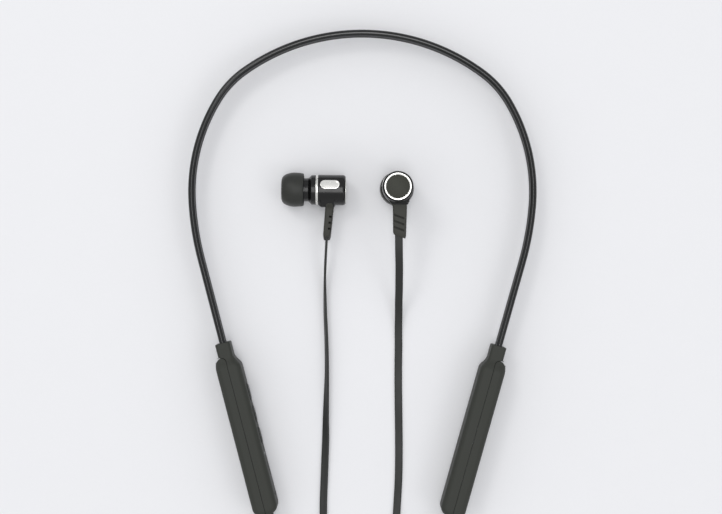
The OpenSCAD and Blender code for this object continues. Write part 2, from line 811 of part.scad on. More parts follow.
strain_relief("right");  // right_strain_relief
left_cord();
right_cord();
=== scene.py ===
"""Neckband earphones: their looks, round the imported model.

Each piece is built in millimetres in a frame of its own, and placed in the shared frame in metres.
"""
import json
import math

import bpy
from mathutils import Matrix, Vector


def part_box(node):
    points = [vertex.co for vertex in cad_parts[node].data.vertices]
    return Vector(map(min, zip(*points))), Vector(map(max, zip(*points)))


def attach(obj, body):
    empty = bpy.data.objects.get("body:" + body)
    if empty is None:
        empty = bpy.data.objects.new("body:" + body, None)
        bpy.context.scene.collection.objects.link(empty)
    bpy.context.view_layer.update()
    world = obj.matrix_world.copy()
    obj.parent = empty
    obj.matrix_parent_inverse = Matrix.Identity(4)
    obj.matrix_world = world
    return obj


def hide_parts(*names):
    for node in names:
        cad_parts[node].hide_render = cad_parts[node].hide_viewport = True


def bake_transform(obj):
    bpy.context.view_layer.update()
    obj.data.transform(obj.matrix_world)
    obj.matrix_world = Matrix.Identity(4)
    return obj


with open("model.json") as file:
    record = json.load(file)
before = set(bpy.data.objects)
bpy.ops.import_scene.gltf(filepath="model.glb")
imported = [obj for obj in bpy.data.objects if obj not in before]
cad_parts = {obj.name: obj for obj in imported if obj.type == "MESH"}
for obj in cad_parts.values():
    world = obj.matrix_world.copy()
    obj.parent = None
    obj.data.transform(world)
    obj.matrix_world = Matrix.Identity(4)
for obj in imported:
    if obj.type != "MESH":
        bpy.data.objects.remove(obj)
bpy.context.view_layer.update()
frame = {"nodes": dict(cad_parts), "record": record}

MM = 0.001


# ---- Camera ----
VIEW_HEIGHT = 0.550  # over the table
VIEW_AT = (-0.00027, 0.00607)
VIEW_ROLL = 0.6  # degrees
VIEW_LENS, VIEW_SENSOR = 71.3, 36

camera_data = bpy.data.cameras.new("camera")
camera_data.lens = VIEW_LENS
camera_data.sensor_width = VIEW_SENSOR
camera = bpy.data.objects.new("camera", camera_data)
bpy.context.scene.collection.objects.link(camera)
camera.location = (*VIEW_AT, VIEW_HEIGHT)
camera.rotation_euler = (0, 0, math.radians(VIEW_ROLL))
bpy.context.scene.camera = camera


# ---- Mesh building ----
def new_object(name, verts, faces, smooth=True):
    """A mesh object in the scene."""
    mesh = bpy.data.meshes.new(name)
    mesh.from_pydata([tuple(v) for v in verts], [], faces)
    mesh.validate()
    if smooth:
        mesh.polygons.foreach_set("use_smooth", [True] * len(mesh.polygons))
    mesh.update()
    obj = bpy.data.objects.new(name, mesh)
    bpy.context.scene.collection.objects.link(obj)
    return obj


def place(obj, matrix):
    """Moves a mesh's points from a local frame in mm to the shared frame in metres."""
    obj.data.transform(Matrix.Scale(MM, 4) @ matrix)
    if matrix.determinant() < 0:
        obj.data.flip_normals()
    obj.data.update()
    return obj


OPEN_CORNER = math.radians(158)  # a corner as open as this stays as it is
FILLET_SHARE = 0.45  # the most of each side of a corner that its fillet takes


def fillet(points, radius, steps):
    """Rounds the corners of a closed outline."""
    out = []
    for i, point in enumerate(points):
        p, a, b = Vector(point), Vector(points[i - 1]), Vector(points[(i + 1) % len(points)])
        turn = (a - p).angle(b - p)
        if turn > OPEN_CORNER:
            out.append(p)
            continue
        to_a, to_b = (a - p).length, (b - p).length
        reach = min(radius / math.tan(turn / 2), FILLET_SHARE * to_a, FILLET_SHARE * to_b)
        start, end = p + (a - p) * (reach / to_a), p + (b - p) * (reach / to_b)
        for k in range(steps + 1):
            t = k / steps
            out.append(start * (1 - t) ** 2 + p * (2 * t * (1 - t)) + end * t * t)
    return out


def ring_faces(n, rings):
    """The faces between neighbouring rings of n points each."""
    faces = []
    for low in range(0, (rings - 1) * n, n):
        for k in range(n):
            j = (k + 1) % n
            faces.append((low + k, low + j, low + n + j, low + n + k))
    return faces


def outward(obj):
    """Turns a closed mesh's faces outward."""
    if sum(f.area * f.normal.dot(f.center) for f in obj.data.polygons) < 0:
        obj.data.flip_normals()
    return obj


def loft(name, rings):
    """A closed bar through rings of points."""
    n = len(rings[0])
    last = (len(rings) - 1) * n
    faces = ring_faces(n, len(rings))
    faces += [tuple(range(n - 1, -1, -1)), tuple(range(last, last + n))]
    return outward(new_object(name, [p for ring in rings for p in ring], faces))


def lathe(name, profile, segments, shape=None):
    """Turns a closed profile of (radius, z) round Z. shape(angle, radius, z) may change the radius."""
    verts, rows, faces = [], [], []
    for r, z in profile:
        if r == 0:
            rows.append([len(verts)] * segments)
            verts.append((0, 0, z))
            continue
        rows.append(list(range(len(verts), len(verts) + segments)))
        for k in range(segments):
            a = 2 * math.pi * k / segments
            q = shape(a, r, z) if shape else r
            verts.append((q * math.cos(a), q * math.sin(a), z))
    for i in range(len(rows)):
        a, b = rows[i - 1], rows[i]
        if a[0] == a[1] and b[0] == b[1]:
            continue
        for k in range(segments):
            j = (k + 1) % segments
            quad = [a[k], a[j], b[j], b[k]]
            quad = [v for m, v in enumerate(quad) if v != quad[m - 1]]
            faces.append(tuple(quad))
    return outward(new_object(name, verts, faces))


def applied(obj):
    """Turns an object's modifiers into its mesh."""
    graph = bpy.context.evaluated_depsgraph_get()
    mesh = bpy.data.meshes.new_from_object(obj.evaluated_get(graph))
    obj.modifiers.clear()
    obj.data = mesh
    return obj


def combine(obj, other, operation="DIFFERENCE"):
    """Cuts another object out of this one, or joins or intersects them, and removes the other."""
    step = obj.modifiers.new("combine", "BOOLEAN")
    step.solver, step.operation, step.object = "EXACT", operation, other
    applied(obj)
    bpy.data.objects.remove(other)
    return obj


def bevel(obj, width, segments=3, angle=35):
    """Rounds the edges that turn by more than an angle in degrees."""
    step = obj.modifiers.new("bevel", "BEVEL")
    step.width, step.segments = width, segments
    step.limit_method, step.angle_limit = "ANGLE", math.radians(angle)
    step.miter_outer = "MITER_ARC"
    return applied(obj)


def shade(obj, angle=40):
    """Smooth shading that keeps flat faces flat and hard edges hard."""
    mesh = obj.data
    mesh.polygons.foreach_set("use_smooth", [True] * len(mesh.polygons))
    mesh.set_sharp_from_angle(angle=math.radians(angle))
    step = obj.modifiers.new("normals", "WEIGHTED_NORMAL")
    step.keep_sharp = True
    step.weight = 80
    return applied(obj)


SLIVER = 0.005  # the least radius, and half the least straight, of a rounded rectangle


def rounded_rect(a, b, r, corner=6):
    """Points round a rectangle with half sizes a and b and corner radius r, anticlockwise."""
    r = max(min(r, a - 2 * SLIVER, b - 2 * SLIVER), SLIVER)
    points = []
    for sx, sy, start in ((1, 1, 0), (-1, 1, 90), (-1, -1, 180), (1, -1, 270)):
        for k in range(corner + 1):
            angle = math.radians(start + 90 * k / corner)
            points.append((sx * (a - r) + r * math.cos(angle), sy * (b - r) + r * math.sin(angle)))
    return points


def circle(d, z, n=14):
    """Points round a circle of diameter d, with its middle at (0, z)."""
    return [
        (d / 2 * math.cos(2 * math.pi * k / n), z + d / 2 * math.sin(2 * math.pi * k / n)) for k in range(n)
    ]


def stadium(length, width, corner=12):
    """Points round a stadium, its length along the second coordinate, anticlockwise."""
    r, points = width / 2, []
    for s, start in ((1, 0), (-1, 180)):
        for k in range(corner + 1):
            angle = math.radians(start + 180 * k / corner)
            points.append((r * math.cos(angle), s * (length - width) / 2 + r * math.sin(angle)))
    return points


def edge(z, radius, steps, top=True):
    """Levels (z, inset) that round an edge of a stack off, towards its top or away from its bottom."""
    out = []
    for k in range(steps + 1):
        a = math.radians(90 * k / steps)
        depth, inset = radius * (1 - math.sin(a)), radius * (1 - math.cos(a))
        out.append((z - depth if top else z + depth, inset))
    return out if top else out[::-1]


# ---- Materials ----
def node(tree, kind, inputs=(), **facts):
    """A shader node with values at its inputs, and settings."""
    made = tree.nodes.new("ShaderNode" + kind)
    for key, value in facts.items():
        setattr(made, key, value)
    for key, value in dict(inputs).items():
        made.inputs[key].default_value = value
    return made


def tinted(colour, share):
    """A colour made lighter or darker."""
    return (*[min(max(c * share, 0), 1) for c in colour], 1)


MATT_EXTRA = 0.5  # how much rougher matt_sides makes a surface
PATCH_SCALE = 90  # of the uneven patches in colour and roughness


def finish(
    name, colour, rough, metal=0.0, vary=0.1, grain=2500, bump=0.12, depth=0.00004,
    smears=0.06, coat=0.0, sheen=0.0, stretch=(1, 1, 1), detail=None, gloss=0.5,
    matt_sides=None,
):
    """A material with uneven colour and roughness, and a fine grain. detail(tree, place_out) may give
    more relief, and a share of the surface that takes a second colour. matt_sides is (z, near, far):
    the surface is dull within near of that height, and has its own roughness beyond far."""
    made = bpy.data.materials.new(name)
    made.use_nodes = True
    tree = made.node_tree
    link = tree.links.new
    shader = tree.nodes["Principled BSDF"]
    shader.inputs["Metallic"].default_value = metal
    shader.inputs["Coat Weight"].default_value = coat
    shader.inputs["Coat Roughness"].default_value = 0.15
    shader.inputs["Sheen Weight"].default_value = sheen
    shader.inputs["Specular IOR Level"].default_value = gloss
    where = node(tree, "TexCoord")
    scaled = node(tree, "Mapping", {"Scale": stretch})
    link(where.outputs["Object"], scaled.inputs["Vector"])
    patches = node(tree, "TexNoise", {"Scale": PATCH_SCALE, "Detail": 4, "Roughness": 0.6})
    link(where.outputs["Object"], patches.inputs["Vector"])
    fine = node(tree, "TexNoise", {"Scale": grain, "Detail": 3, "Roughness": 0.55})
    link(scaled.outputs["Vector"], fine.inputs["Vector"])
    both = node(tree, "Math", operation="ADD")
    link(patches.outputs["Fac"], both.inputs[0])
    link(fine.outputs["Fac"], both.inputs[1])
    share = node(tree, "MapRange", {"From Min": 0.7, "From Max": 1.3})
    link(both.outputs[0], share.inputs["Value"])
    paint = node(tree, "Mix", data_type="RGBA")
    paint.inputs["A"].default_value = tinted(colour, 1 - vary)
    paint.inputs["B"].default_value = tinted(colour, 1 + vary)
    link(share.outputs["Result"], paint.inputs["Factor"])
    out_colour = paint.outputs["Result"]
    dull = node(tree, "MapRange", {"From Min": 0.3, "From Max": 0.7})
    dull.inputs["To Min"].default_value = max(rough - smears, 0.02)
    dull.inputs["To Max"].default_value = min(rough + smears, 1)
    link(patches.outputs["Fac"], dull.inputs["Value"])
    roughness = dull.outputs["Result"]
    if matt_sides:
        level, near, far = matt_sides
        axes = node(tree, "SeparateXYZ")
        link(where.outputs["Object"], axes.inputs["Vector"])
        above = node(tree, "Math", operation="SUBTRACT")
        link(axes.outputs["Z"], above.inputs[0])
        above.inputs[1].default_value = level
        off = node(tree, "Math", operation="ABSOLUTE")
        link(above.outputs[0], off.inputs[0])
        more = node(
            tree, "MapRange", {"From Min": near, "From Max": far, "To Min": MATT_EXTRA, "To Max": 0.0}
        )
        link(off.outputs[0], more.inputs["Value"])
        total = node(tree, "Math", operation="ADD")
        link(roughness, total.inputs[0])
        link(more.outputs["Result"], total.inputs[1])
        roughness = total.outputs[0]
    link(roughness, shader.inputs["Roughness"])
    relief = node(tree, "Bump", {"Strength": bump, "Distance": depth})
    link(fine.outputs["Fac"], relief.inputs["Height"])
    last = relief
    if detail:
        height, mask, second, reach = detail(tree, where.outputs["Object"])
        last = node(tree, "Bump", {"Strength": 1.0, "Distance": reach})
        link(height, last.inputs["Height"])
        link(relief.outputs["Normal"], last.inputs["Normal"])
        if mask is not None:
            over = node(tree, "Mix", data_type="RGBA")
            over.inputs["B"].default_value = (*second, 1)
            link(mask, over.inputs["Factor"])
            link(out_colour, over.inputs["A"])
            out_colour = over.outputs["Result"]
    link(out_colour, shader.inputs["Base Color"])
    link(last.outputs["Normal"], shader.inputs["Normal"])
    return made


RINGS_TO_A_UNIT = 3.2  # of a wave texture whose scale is 1


def rings_about(point, axis, pitch):
    """Fine turned rings round a point, on a face across an axis."""

    def detail(tree, place_out):
        flat = [0.0 if k == axis else 1.0 for k in range(3)]
        shift = node(tree, "Mapping", {"Location": [-p * s for p, s in zip(point, flat)], "Scale": flat})
        tree.links.new(place_out, shift.inputs["Vector"])
        scale = 1 / pitch / RINGS_TO_A_UNIT
        wave = node(tree, "TexWave", {"Scale": scale, "Distortion": 0.3, "Detail": 2})
        wave.wave_type = "RINGS"
        wave.rings_direction = "SPHERICAL"
        tree.links.new(shift.outputs["Vector"], wave.inputs["Vector"])
        return wave.outputs["Fac"], None, None, 0.00002

    return detail


def speckled(scale, cover, colour, reach=0.00002):
    """Small spots in a second colour, such as flecks in a moulding."""

    def detail(tree, place_out):
        cells = node(tree, "TexVoronoi", {"Scale": scale, "Randomness": 1.0})
        tree.links.new(place_out, cells.inputs["Vector"])
        mask = node(tree, "MapRange", {"From Min": cover, "From Max": cover * 0.6})
        tree.links.new(cells.outputs["Distance"], mask.inputs["Value"])
        return mask.outputs["Result"], mask.outputs["Result"], colour, reach

    return detail


def woven(scale, colour, reach=0.00003):
    """A mesh of round holes. The holes take the second colour, which is painted shade: the dark seen through
    them.
    """

    def detail(tree, place_out):
        cells = node(tree, "TexVoronoi", {"Scale": scale, "Randomness": 0.0})
        tree.links.new(place_out, cells.inputs["Vector"])
        mask = node(tree, "MapRange", {"From Min": 0.42, "From Max": 0.3})
        tree.links.new(cells.outputs["Distance"], mask.inputs["Value"])
        flip = node(tree, "Math", operation="SUBTRACT")
        flip.inputs[0].default_value = 1
        tree.links.new(mask.outputs["Result"], flip.inputs[1])
        return flip.outputs[0], mask.outputs["Result"], colour, reach

    return detail


def tracks(scale, colour):
    """Copper tracks on a circuit board."""

    def detail(tree, place_out):
        brick = node(tree, "TexBrick", {"Scale": scale, "Mortar Size": 0.06, "Mortar Smooth": 0.1})
        brick.inputs["Color1"].default_value = (0, 0, 0, 1)
        brick.inputs["Color2"].default_value = (0, 0, 0, 1)
        brick.inputs["Mortar"].default_value = (1, 1, 1, 1)
        turned = node(tree, "Mapping", {"Rotation": (0, math.radians(90), math.radians(15))})
        tree.links.new(place_out, turned.inputs["Vector"])
        tree.links.new(turned.outputs["Vector"], brick.inputs["Vector"])
        return brick.outputs["Color"], brick.outputs["Color"], colour, 0.00003

    return detail


def wrinkles(scale, reach):
    """Soft creases, as in foil."""

    def detail(tree, place_out):
        folds = node(tree, "TexNoise", {"Scale": scale, "Detail": 2, "Distortion": 1.5})
        tree.links.new(place_out, folds.inputs["Vector"])
        return folds.outputs["Fac"], None, None, reach

    return detail


RIGHT_BACK = (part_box("right_rear_ring")[0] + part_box("right_rear_ring")[1]) / 2
LEFT_BACK = (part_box("left_rear_ring")[0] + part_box("left_rear_ring")[1]) / 2

MATERIALS = {
    "band_silicone": finish(
        "band_silicone", (0.006, 0.0065, 0.0065), 0.17, vary=0.12, grain=3000, bump=0.03, smears=0.03,
        gloss=0.4, matt_sides=(0.0065, 0.0016, 0.0026),
    ),
    "pod_shell": finish(
        "pod_shell", (0.027, 0.029, 0.0235), 0.6, vary=0.14, grain=5200, bump=0.32, depth=0.00005,
        smears=0.05, gloss=0.35,
    ),
    "button_rubber": finish(
        "button_rubber", (0.024, 0.025, 0.022), 0.55, vary=0.1, grain=3600, bump=0.2, gloss=0.4,
    ),
    "cord_jacket": finish(
        "cord_jacket", (0.016, 0.017, 0.015), 0.5, vary=0.12, grain=2600, bump=0.2, smears=0.07, gloss=0.4,
    ),
    "tip_silicone": finish(
        "tip_silicone", (0.017, 0.018, 0.015), 0.48, vary=0.1, grain=3400, bump=0.1, smears=0.08,
        sheen=0.05, gloss=0.4,
    ),
    "relief_rubber": finish(
        "relief_rubber", (0.029, 0.029, 0.023), 0.6, vary=0.12, grain=3200, bump=0.25, gloss=0.4,
    ),
    "bud_gloss": finish(
        "bud_gloss", (0.005, 0.005, 0.005), 0.24, gloss=0.3, vary=0.15, grain=4200, bump=0.05, smears=0.05,
        coat=0.1,
    ),
    "bright_metal": finish(
        "bright_metal", (0.83, 0.825, 0.79), 0.26, metal=1.0, vary=0.04, grain=1500, bump=0.04,
        stretch=(1, 1, 12), smears=0.08,
    ),
    "spring_steel": finish(
        "spring_steel", (0.52, 0.53, 0.55), 0.3, metal=1.0, vary=0.08, grain=1800, bump=0.15,
    ),
    "copper_lead": finish(
        "copper_lead", (0.60, 0.27, 0.10), 0.35, metal=1.0, vary=0.12, grain=1800, bump=0.2,
    ),
    "circuit_board": finish(
        "circuit_board", (0.012, 0.075, 0.030), 0.4, vary=0.15, grain=2500, bump=0.1,
        detail=tracks(260, (0.30, 0.18, 0.05)),
    ),
    "chip_plastic": finish(
        "chip_plastic", (0.015, 0.015, 0.016), 0.5, vary=0.2, grain=6000, bump=0.3,
        detail=speckled(2600, 0.2, (0.05, 0.05, 0.05)),
    ),
    "plated_steel": finish(
        "plated_steel", (0.62, 0.63, 0.65), 0.28, metal=1.0, vary=0.06, grain=2000, bump=0.12,
        stretch=(1, 8, 1),
    ),
    "switch_metal": finish(
        "switch_metal", (0.68, 0.68, 0.66), 0.35, metal=1.0, vary=0.08, grain=2600, bump=0.15,
    ),
    "plunger_red": finish(
        "plunger_red", (0.27, 0.035, 0.022), 0.45, vary=0.1, grain=3800, bump=0.15,
    ),
    "clear_pipe": finish(
        "clear_pipe", (0.72, 0.76, 0.78), 0.22, vary=0.05, grain=3000, bump=0.08, coat=0.4,
    ),
    "cell_foil": finish(
        "cell_foil", (0.55, 0.57, 0.60), 0.32, metal=0.85, vary=0.08, grain=1200, bump=0.1,
        detail=wrinkles(420, 0.0002),
    ),
    "diaphragm_film": finish(
        "diaphragm_film", (0.55, 0.52, 0.42), 0.3, vary=0.08, grain=3000, bump=0.1,
        detail=rings_about(RIGHT_BACK, 2, 0.0004),
    ),
}
DISCS = {
    side: finish(
        "disc_matte_" + side, (0.026, 0.027, 0.019), 0.5, vary=0.25, grain=3000, bump=0.25, smears=0.08,
        gloss=0.4, detail=rings_about(back, axis, 0.00028),
    )
    for side, back, axis in (("left", LEFT_BACK, 0), ("right", RIGHT_BACK, 2))
}
# The nozzle mesh's holes are painted near-black: painted shade seen through the holes.
MESH_LOOK = finish(
    "nozzle_mesh", (0.42, 0.43, 0.44), 0.35, metal=1.0, vary=0.08, grain=2500, bump=0.1,
    detail=woven(3600, (0.01, 0.01, 0.01)),
)


def dress(obj, slot, material=None):
    """Gives a piece the named slot's material, or one of its own."""
    obj.data.materials.clear()
    obj.data.materials.append(material or MATERIALS[slot])
    return obj


def done(obj, body, slot, *nodes, material=None):
    """Finishes a piece: its material, its body, and the CAD nodes that it stands for."""
    dress(obj, slot, material)
    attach(obj, body)
    if nodes:
        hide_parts(*nodes)
    return obj


# ---- The cords' routes, as the CAD has them: x, y, z in mm, and turn in degrees ----
LEFT_ROUTE = [
    (-32.6, -99.0, 6.5, 90), (-31.6, -103.0, 6.3, 90), (-30.8, -107.0, 5.3, 90),
    (-30.4, -111.0, 3.8, 90), (-30.4, -115.0, 2.4, 90), (-30.2, -119.0, 1.7, 90),
    (-29.0, -123.2, 1.6, 90), (-26.4, -126.6, 1.6, 90), (-22.4, -128.0, 1.6, 90),
    (-18.4, -126.6, 1.6, 90), (-15.8, -123.2, 1.6, 90), (-14.4, -119.0, 1.6, 85),
    (-13.8, -114.5, 1.6, 75), (-13.6, -110.0, 1.5, 55), (-13.6, -105.0, 1.3, 35),
    (-13.7, -99.5, 1.0, 18), (-13.7, -93.5, 0.8, 8), (-13.7, -87.0, 0.7, 6),
    (-13.5, -80.0, 0.8, 10), (-13.3, -72.0, 0.9, 15), (-13.1, -64.0, 1.0, 25),
    (-13.1, -56.0, 1.3, 42), (-13.0, -48.0, 1.5, 55), (-12.9, -40.0, 1.6, 66),
    (-13.0, -32.0, 1.6, 70), (-13.3, -24.0, 1.6, 72), (-13.7, -16.5, 1.6, 75),
    (-13.9, -10.0, 1.7, 80), (-14.0, -4.0, 2.4, 86), (-13.9, 1.5, 3.8, 90),
    (-13.7, 6.5, 5.1, 90), (-13.5, 10.8, 5.8, 90), (-13.3, 14.8, 6.0, 90),
]
RIGHT_ROUTE = [
    (32.6, -99.0, 6.5, 90), (31.6, -103.0, 6.3, 90), (30.8, -107.0, 5.3, 90),
    (30.4, -111.0, 3.8, 90), (30.4, -115.0, 2.4, 90), (30.2, -119.0, 1.7, 90),
    (29.2, -123.2, 1.6, 90), (26.8, -126.6, 1.6, 90), (22.9, -128.0, 1.6, 90),
    (19.0, -126.6, 1.6, 90), (16.4, -123.2, 1.6, 90), (14.8, -119.0, 1.6, 85),
    (14.2, -114.5, 1.6, 75), (14.0, -110.0, 1.5, 55), (14.0, -105.0, 1.3, 35),
    (14.2, -99.5, 1.0, 18), (14.4, -93.5, 0.7, 5), (14.7, -87.0, 0.5, 0),
    (15.0, -80.0, 0.5, 0), (15.1, -72.0, 0.5, 0), (15.0, -63.0, 0.5, 0),
    (14.8, -54.0, 0.5, 0), (14.6, -45.0, 0.5, 0), (14.5, -36.0, 0.5, 0),
    (14.5, -28.0, 0.5, 0), (14.4, -21.5, 0.9, 0), (14.4, -16.0, 2.3, 0),
    (14.3, -11.0, 4.9, 0), (14.3, -6.5, 8.0, 0), (14.2, -2.0, 11.3, 0),
    (14.1, 3.0, 14.4, 0), (13.9, 8.0, 16.3, 0), (13.8, 12.0, 17.1, 0),
    (13.7, 15.4, 17.5, 0),
]
CORD_WIDTH, CORD_THICKNESS, CORD_DIP = 2.9, 0.9, 0.05
CORD_STEPS = 5  # rings between two points of a route


def smoothed(route, steps):
    """Points on one smooth curve through the route."""
    out = []
    for i in range(len(route) - 1):
        p = [Vector(route[min(max(k, 0), len(route) - 1)]) for k in (i - 1, i, i + 1, i + 2)]
        for k in range(steps):
            t = k / steps
            out.append(
                0.5 * (2 * p[1] + (p[2] - p[0]) * t + (2 * p[0] - 5 * p[1] + 4 * p[2] - p[3]) * t**2
                       + (3 * p[1] - p[0] - 3 * p[2] + p[3]) * t**3)
            )
    return out + [Vector(route[-1])]


def cord_section():
    """The flat cord's section: round edges, and a shallow hollow down each face between its strands."""
    a, b, out = CORD_WIDTH / 2, CORD_THICKNESS / 2, []
    bulge = 0.8 * b
    flat = a - bulge
    for s in (1, -1):
        for k in range(7):
            angle = math.radians(-90 + 30 * k)
            out.append((s * (flat + bulge * math.cos(angle)), s * b * math.sin(angle)))
        for k in range(1, 8):
            x = flat * (1 - k / 4)
            out.append((s * x, s * (b - CORD_DIP * math.cos(math.pi * x / 2 / flat) ** 2)))
    return out


def flat_cord(name, route):
    """A cord along a route, with its path in metres and its length."""
    points = smoothed(route, CORD_STEPS)
    section = cord_section()
    rings = []
    for i, p in enumerate(points):
        t = (points[min(i + 1, len(points) - 1)] - points[max(i - 1, 0)]).to_3d().normalized()
        level = t.cross(Vector((0, 0, 1))).normalized()
        rise = level.cross(t)
        angle = math.radians(p[3])
        wide = math.cos(angle) * level + math.sin(angle) * rise
        thick = t.cross(wide)
        rings.append([p.to_3d() + wide * u + thick * v for u, v in section])
    obj = place(loft(name, rings), Matrix.Identity(4))
    path = [p.to_3d() * MM for p in points]
    return obj, path, sum((b - a).length for a, b in zip(path, path[1:]))


for side, route in (("left", LEFT_ROUTE), ("right", RIGHT_ROUTE)):
    cord, path, length = flat_cord(side + "_flat_cord", route)
    done(shade(cord), side + "_half", "cord_jacket", side + "_cord")


# ---- The band's line and the pods' place, as the CAD has them ----
BAND_WIDTH, BAND_HEIGHT = 2.4, 6.5
ARCH_RADII, ARCH_ANGLES = (77, 37, 67, 112), (36, 23, 35.2, 11)  # each side's arcs, from the top down
STRAIGHT = 33  # from the last arc to the pod
SLEEVE_IN, WIRE_IN, LEAD_IN = 4, 8, 12.4  # how far each goes into a pod
POD_LENGTH, POD_WIDTH, POD_HEIGHT = 67, 9.5, 13
MIDDLE = POD_HEIGHT / 2  # the height of the band's and the pods' middle
ARCH_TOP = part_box("band_sleeve_right")[1].y / MM - BAND_WIDTH / 2
ARC_STEP, STRAIGHT_STEPS = 1.5, 12  # degrees of an arc between two rings, and steps down the straight


def polar(r, degrees):
    """The point at a distance and in a direction."""
    return Vector((r * math.cos(math.radians(degrees)), r * math.sin(math.radians(degrees))))


def half_line(more):
    """Places down the right-hand side of the band from the arch's top, as (point, heading), then the
    pod's place and heading. more is how far the places go on into the pod."""
    at, heading, out = Vector((0, ARCH_TOP)), 0.0, []
    for radius, turn in zip(ARCH_RADII, ARCH_ANGLES):
        centre = at + polar(radius, heading - 90)
        steps = math.ceil(turn / ARC_STEP)
        for k in range(steps):
            h = heading - turn * k / steps
            out.append((centre + polar(radius, h + 90), h))
        heading -= turn
        at = centre + polar(radius, heading + 90)
    for k in range(STRAIGHT_STEPS + 1):
        out.append((at + polar((STRAIGHT + more) * k / STRAIGHT_STEPS, heading), heading))
    return out, at + polar(STRAIGHT, heading), heading


def whole_line(more):
    """The band's line from the left-hand pod over the arch to the right-hand pod."""
    right = half_line(more)[0]
    left = [(Vector((-p.x, p.y)), -h) for p, h in right[:0:-1]]
    return left + right


_, POD_AT, POD_HEADING = half_line(0)
TILT = 90 + POD_HEADING
RIGHT_POD = Matrix.Translation((*POD_AT, MIDDLE)) @ Matrix.Rotation(math.radians(TILT), 4, "Z")
LEFT_POD = Matrix.Scale(-1, 4, (1, 0, 0)) @ RIGHT_POD
PODS = {"left": LEFT_POD, "right": RIGHT_POD}


def band_bar(name, section, more):
    """A bar along the whole band. A section's x points out of the arch, and its y up."""
    rings = []
    for p, h in whole_line(more):
        out = polar(1, h + 90)
        rings.append([(p.x + out.x * x, p.y + out.y * x, MIDDLE + y) for x, y in section])
    return place(loft(name, rings), Matrix.Identity(4))


def flexing(obj, slot, *nodes):
    """Finishes a piece that joins the two halves: its material, the CAD nodes that it stands for, and its
    place baked into its mesh.
    """
    dress(obj, slot)
    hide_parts(*nodes)
    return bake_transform(obj)


WIRE_Z = 1.3  # the wire's height over the sleeve's middle, and the lead's depth under it
WIRE_DIAMETER, LEAD_DIAMETER = 1, 1
flexing(
    shade(band_bar("neckband", stadium(BAND_HEIGHT, BAND_WIDTH, 14), SLEEVE_IN)),
    "band_silicone", "band_sleeve_left", "band_sleeve_right",
)
flexing(
    shade(band_bar("spring_wire", circle(WIRE_DIAMETER, WIRE_Z), WIRE_IN)),
    "spring_steel", "spring_wire_left", "spring_wire_right",
)
flexing(
    shade(band_bar("band_lead", circle(LEAD_DIAMETER, -WIRE_Z), LEAD_IN)),
    "copper_lead", "band_lead_left", "band_lead_right",
)


# ---- The pods, each in its own frame: x outward, -y down the pod, z up from its middle ----
COLLAR_LENGTH, COLLAR_HALF = 5, (2.8, 4.75)  # half its width and half its height
COLLAR_RADIUS, COLLAR_TOP_RADIUS = 1.15, 0.35
SHOULDER = 5
EDGE_RADIUS, END_RADIUS = 2.3, 3.4
WALL, SHELL_BEVEL = 1.2, 0.13
SEAM, SEAM_GAP = 0.1, 0.14
TONGUE_TOP, TONGUE_RADIUS = 5.3, 2.0  # the outer shell's round upper end
CAVITY = (9, POD_LENGTH - WALL)  # where the hollow starts and ends
CAVITY_RADIUS, CAVITY_EASE = 1.7, 0.5
SOCKET_CLEAR, CORD_WAY = 0.06, 4.5
FACE = -POD_WIDTH / 2  # the inner face
ASIDE = 9  # far enough from the pod to be clear of it


def pod_body(name):
    """The pod's outer form: collar, shoulder, straight body and round lower end."""
    rings = []

    # one ring, from its half widths on both sides, its half height and its corner radius
    def ring(y, left, right, b, r):
        mid, a = (right - left) / 2, (right + left) / 2
        rings.append([(x + mid, y, -z) for x, z in rounded_rect(a, b, r, 8)])

    ca, cb = COLLAR_HALF
    fa, fb = POD_WIDTH / 2, POD_HEIGHT / 2
    for k in range(5):
        angle = math.radians(90 * k / 4)
        inset = COLLAR_TOP_RADIUS * (1 - math.sin(angle))
        y = -COLLAR_TOP_RADIUS * (1 - math.cos(angle))
        ring(y, ca - inset, ca - inset, cb - inset, COLLAR_RADIUS)
    ring(-COLLAR_LENGTH / 2, ca, ca, cb, COLLAR_RADIUS)
    steps = 20
    for k in range(steps + 1):
        t = k / steps
        s = (1 - math.cos(math.pi * t)) / 2
        # the outer side is a quarter of an ellipse, so it widens at once
        q = math.sin(math.acos(1 - t))
        ring(
            -COLLAR_LENGTH - SHOULDER * t, ca + (fa - ca) * s, ca + (fa - ca) * q,
            cb + (fb - cb) * s, COLLAR_RADIUS + (EDGE_RADIUS - COLLAR_RADIUS) * min(2 * t, 1),
        )
    straight = POD_LENGTH - END_RADIUS - COLLAR_LENGTH - SHOULDER
    for k in range(1, 7):
        ring(-COLLAR_LENGTH - SHOULDER - straight * k / 6, fa, fa, fb, EDGE_RADIUS)
    for k in range(1, 11):
        angle = math.radians(90 * k / 10)
        y = -POD_LENGTH + END_RADIUS * (1 - math.sin(angle))
        a = fa - END_RADIUS * (1 - math.cos(angle))
        low = max(-POD_LENGTH + EDGE_RADIUS - y, 0) / EDGE_RADIUS
        b = fb - EDGE_RADIUS * (1 - math.sqrt(max(1 - low * low, 0)))
        ring(y, a, a, b, EDGE_RADIUS)
    return loft(name, rings)


def plan_prism(name, outline):
    """A prism over a plan outline in x and y, through all of the pod's height."""
    reach = 20
    return loft(name, [[(x, y, z) for x, y in outline] for z in (-reach, reach)])


# The outer shell's upper end: a curve in from its flank, and the x where the arc takes over
TONGUE_FLANK = [(ASIDE, -6.9), (3.9, -6.6), (3.5, -6.15), (3.1, -5.82), (2.72, -5.6)]
TONGUE_ARC_X = 2.35


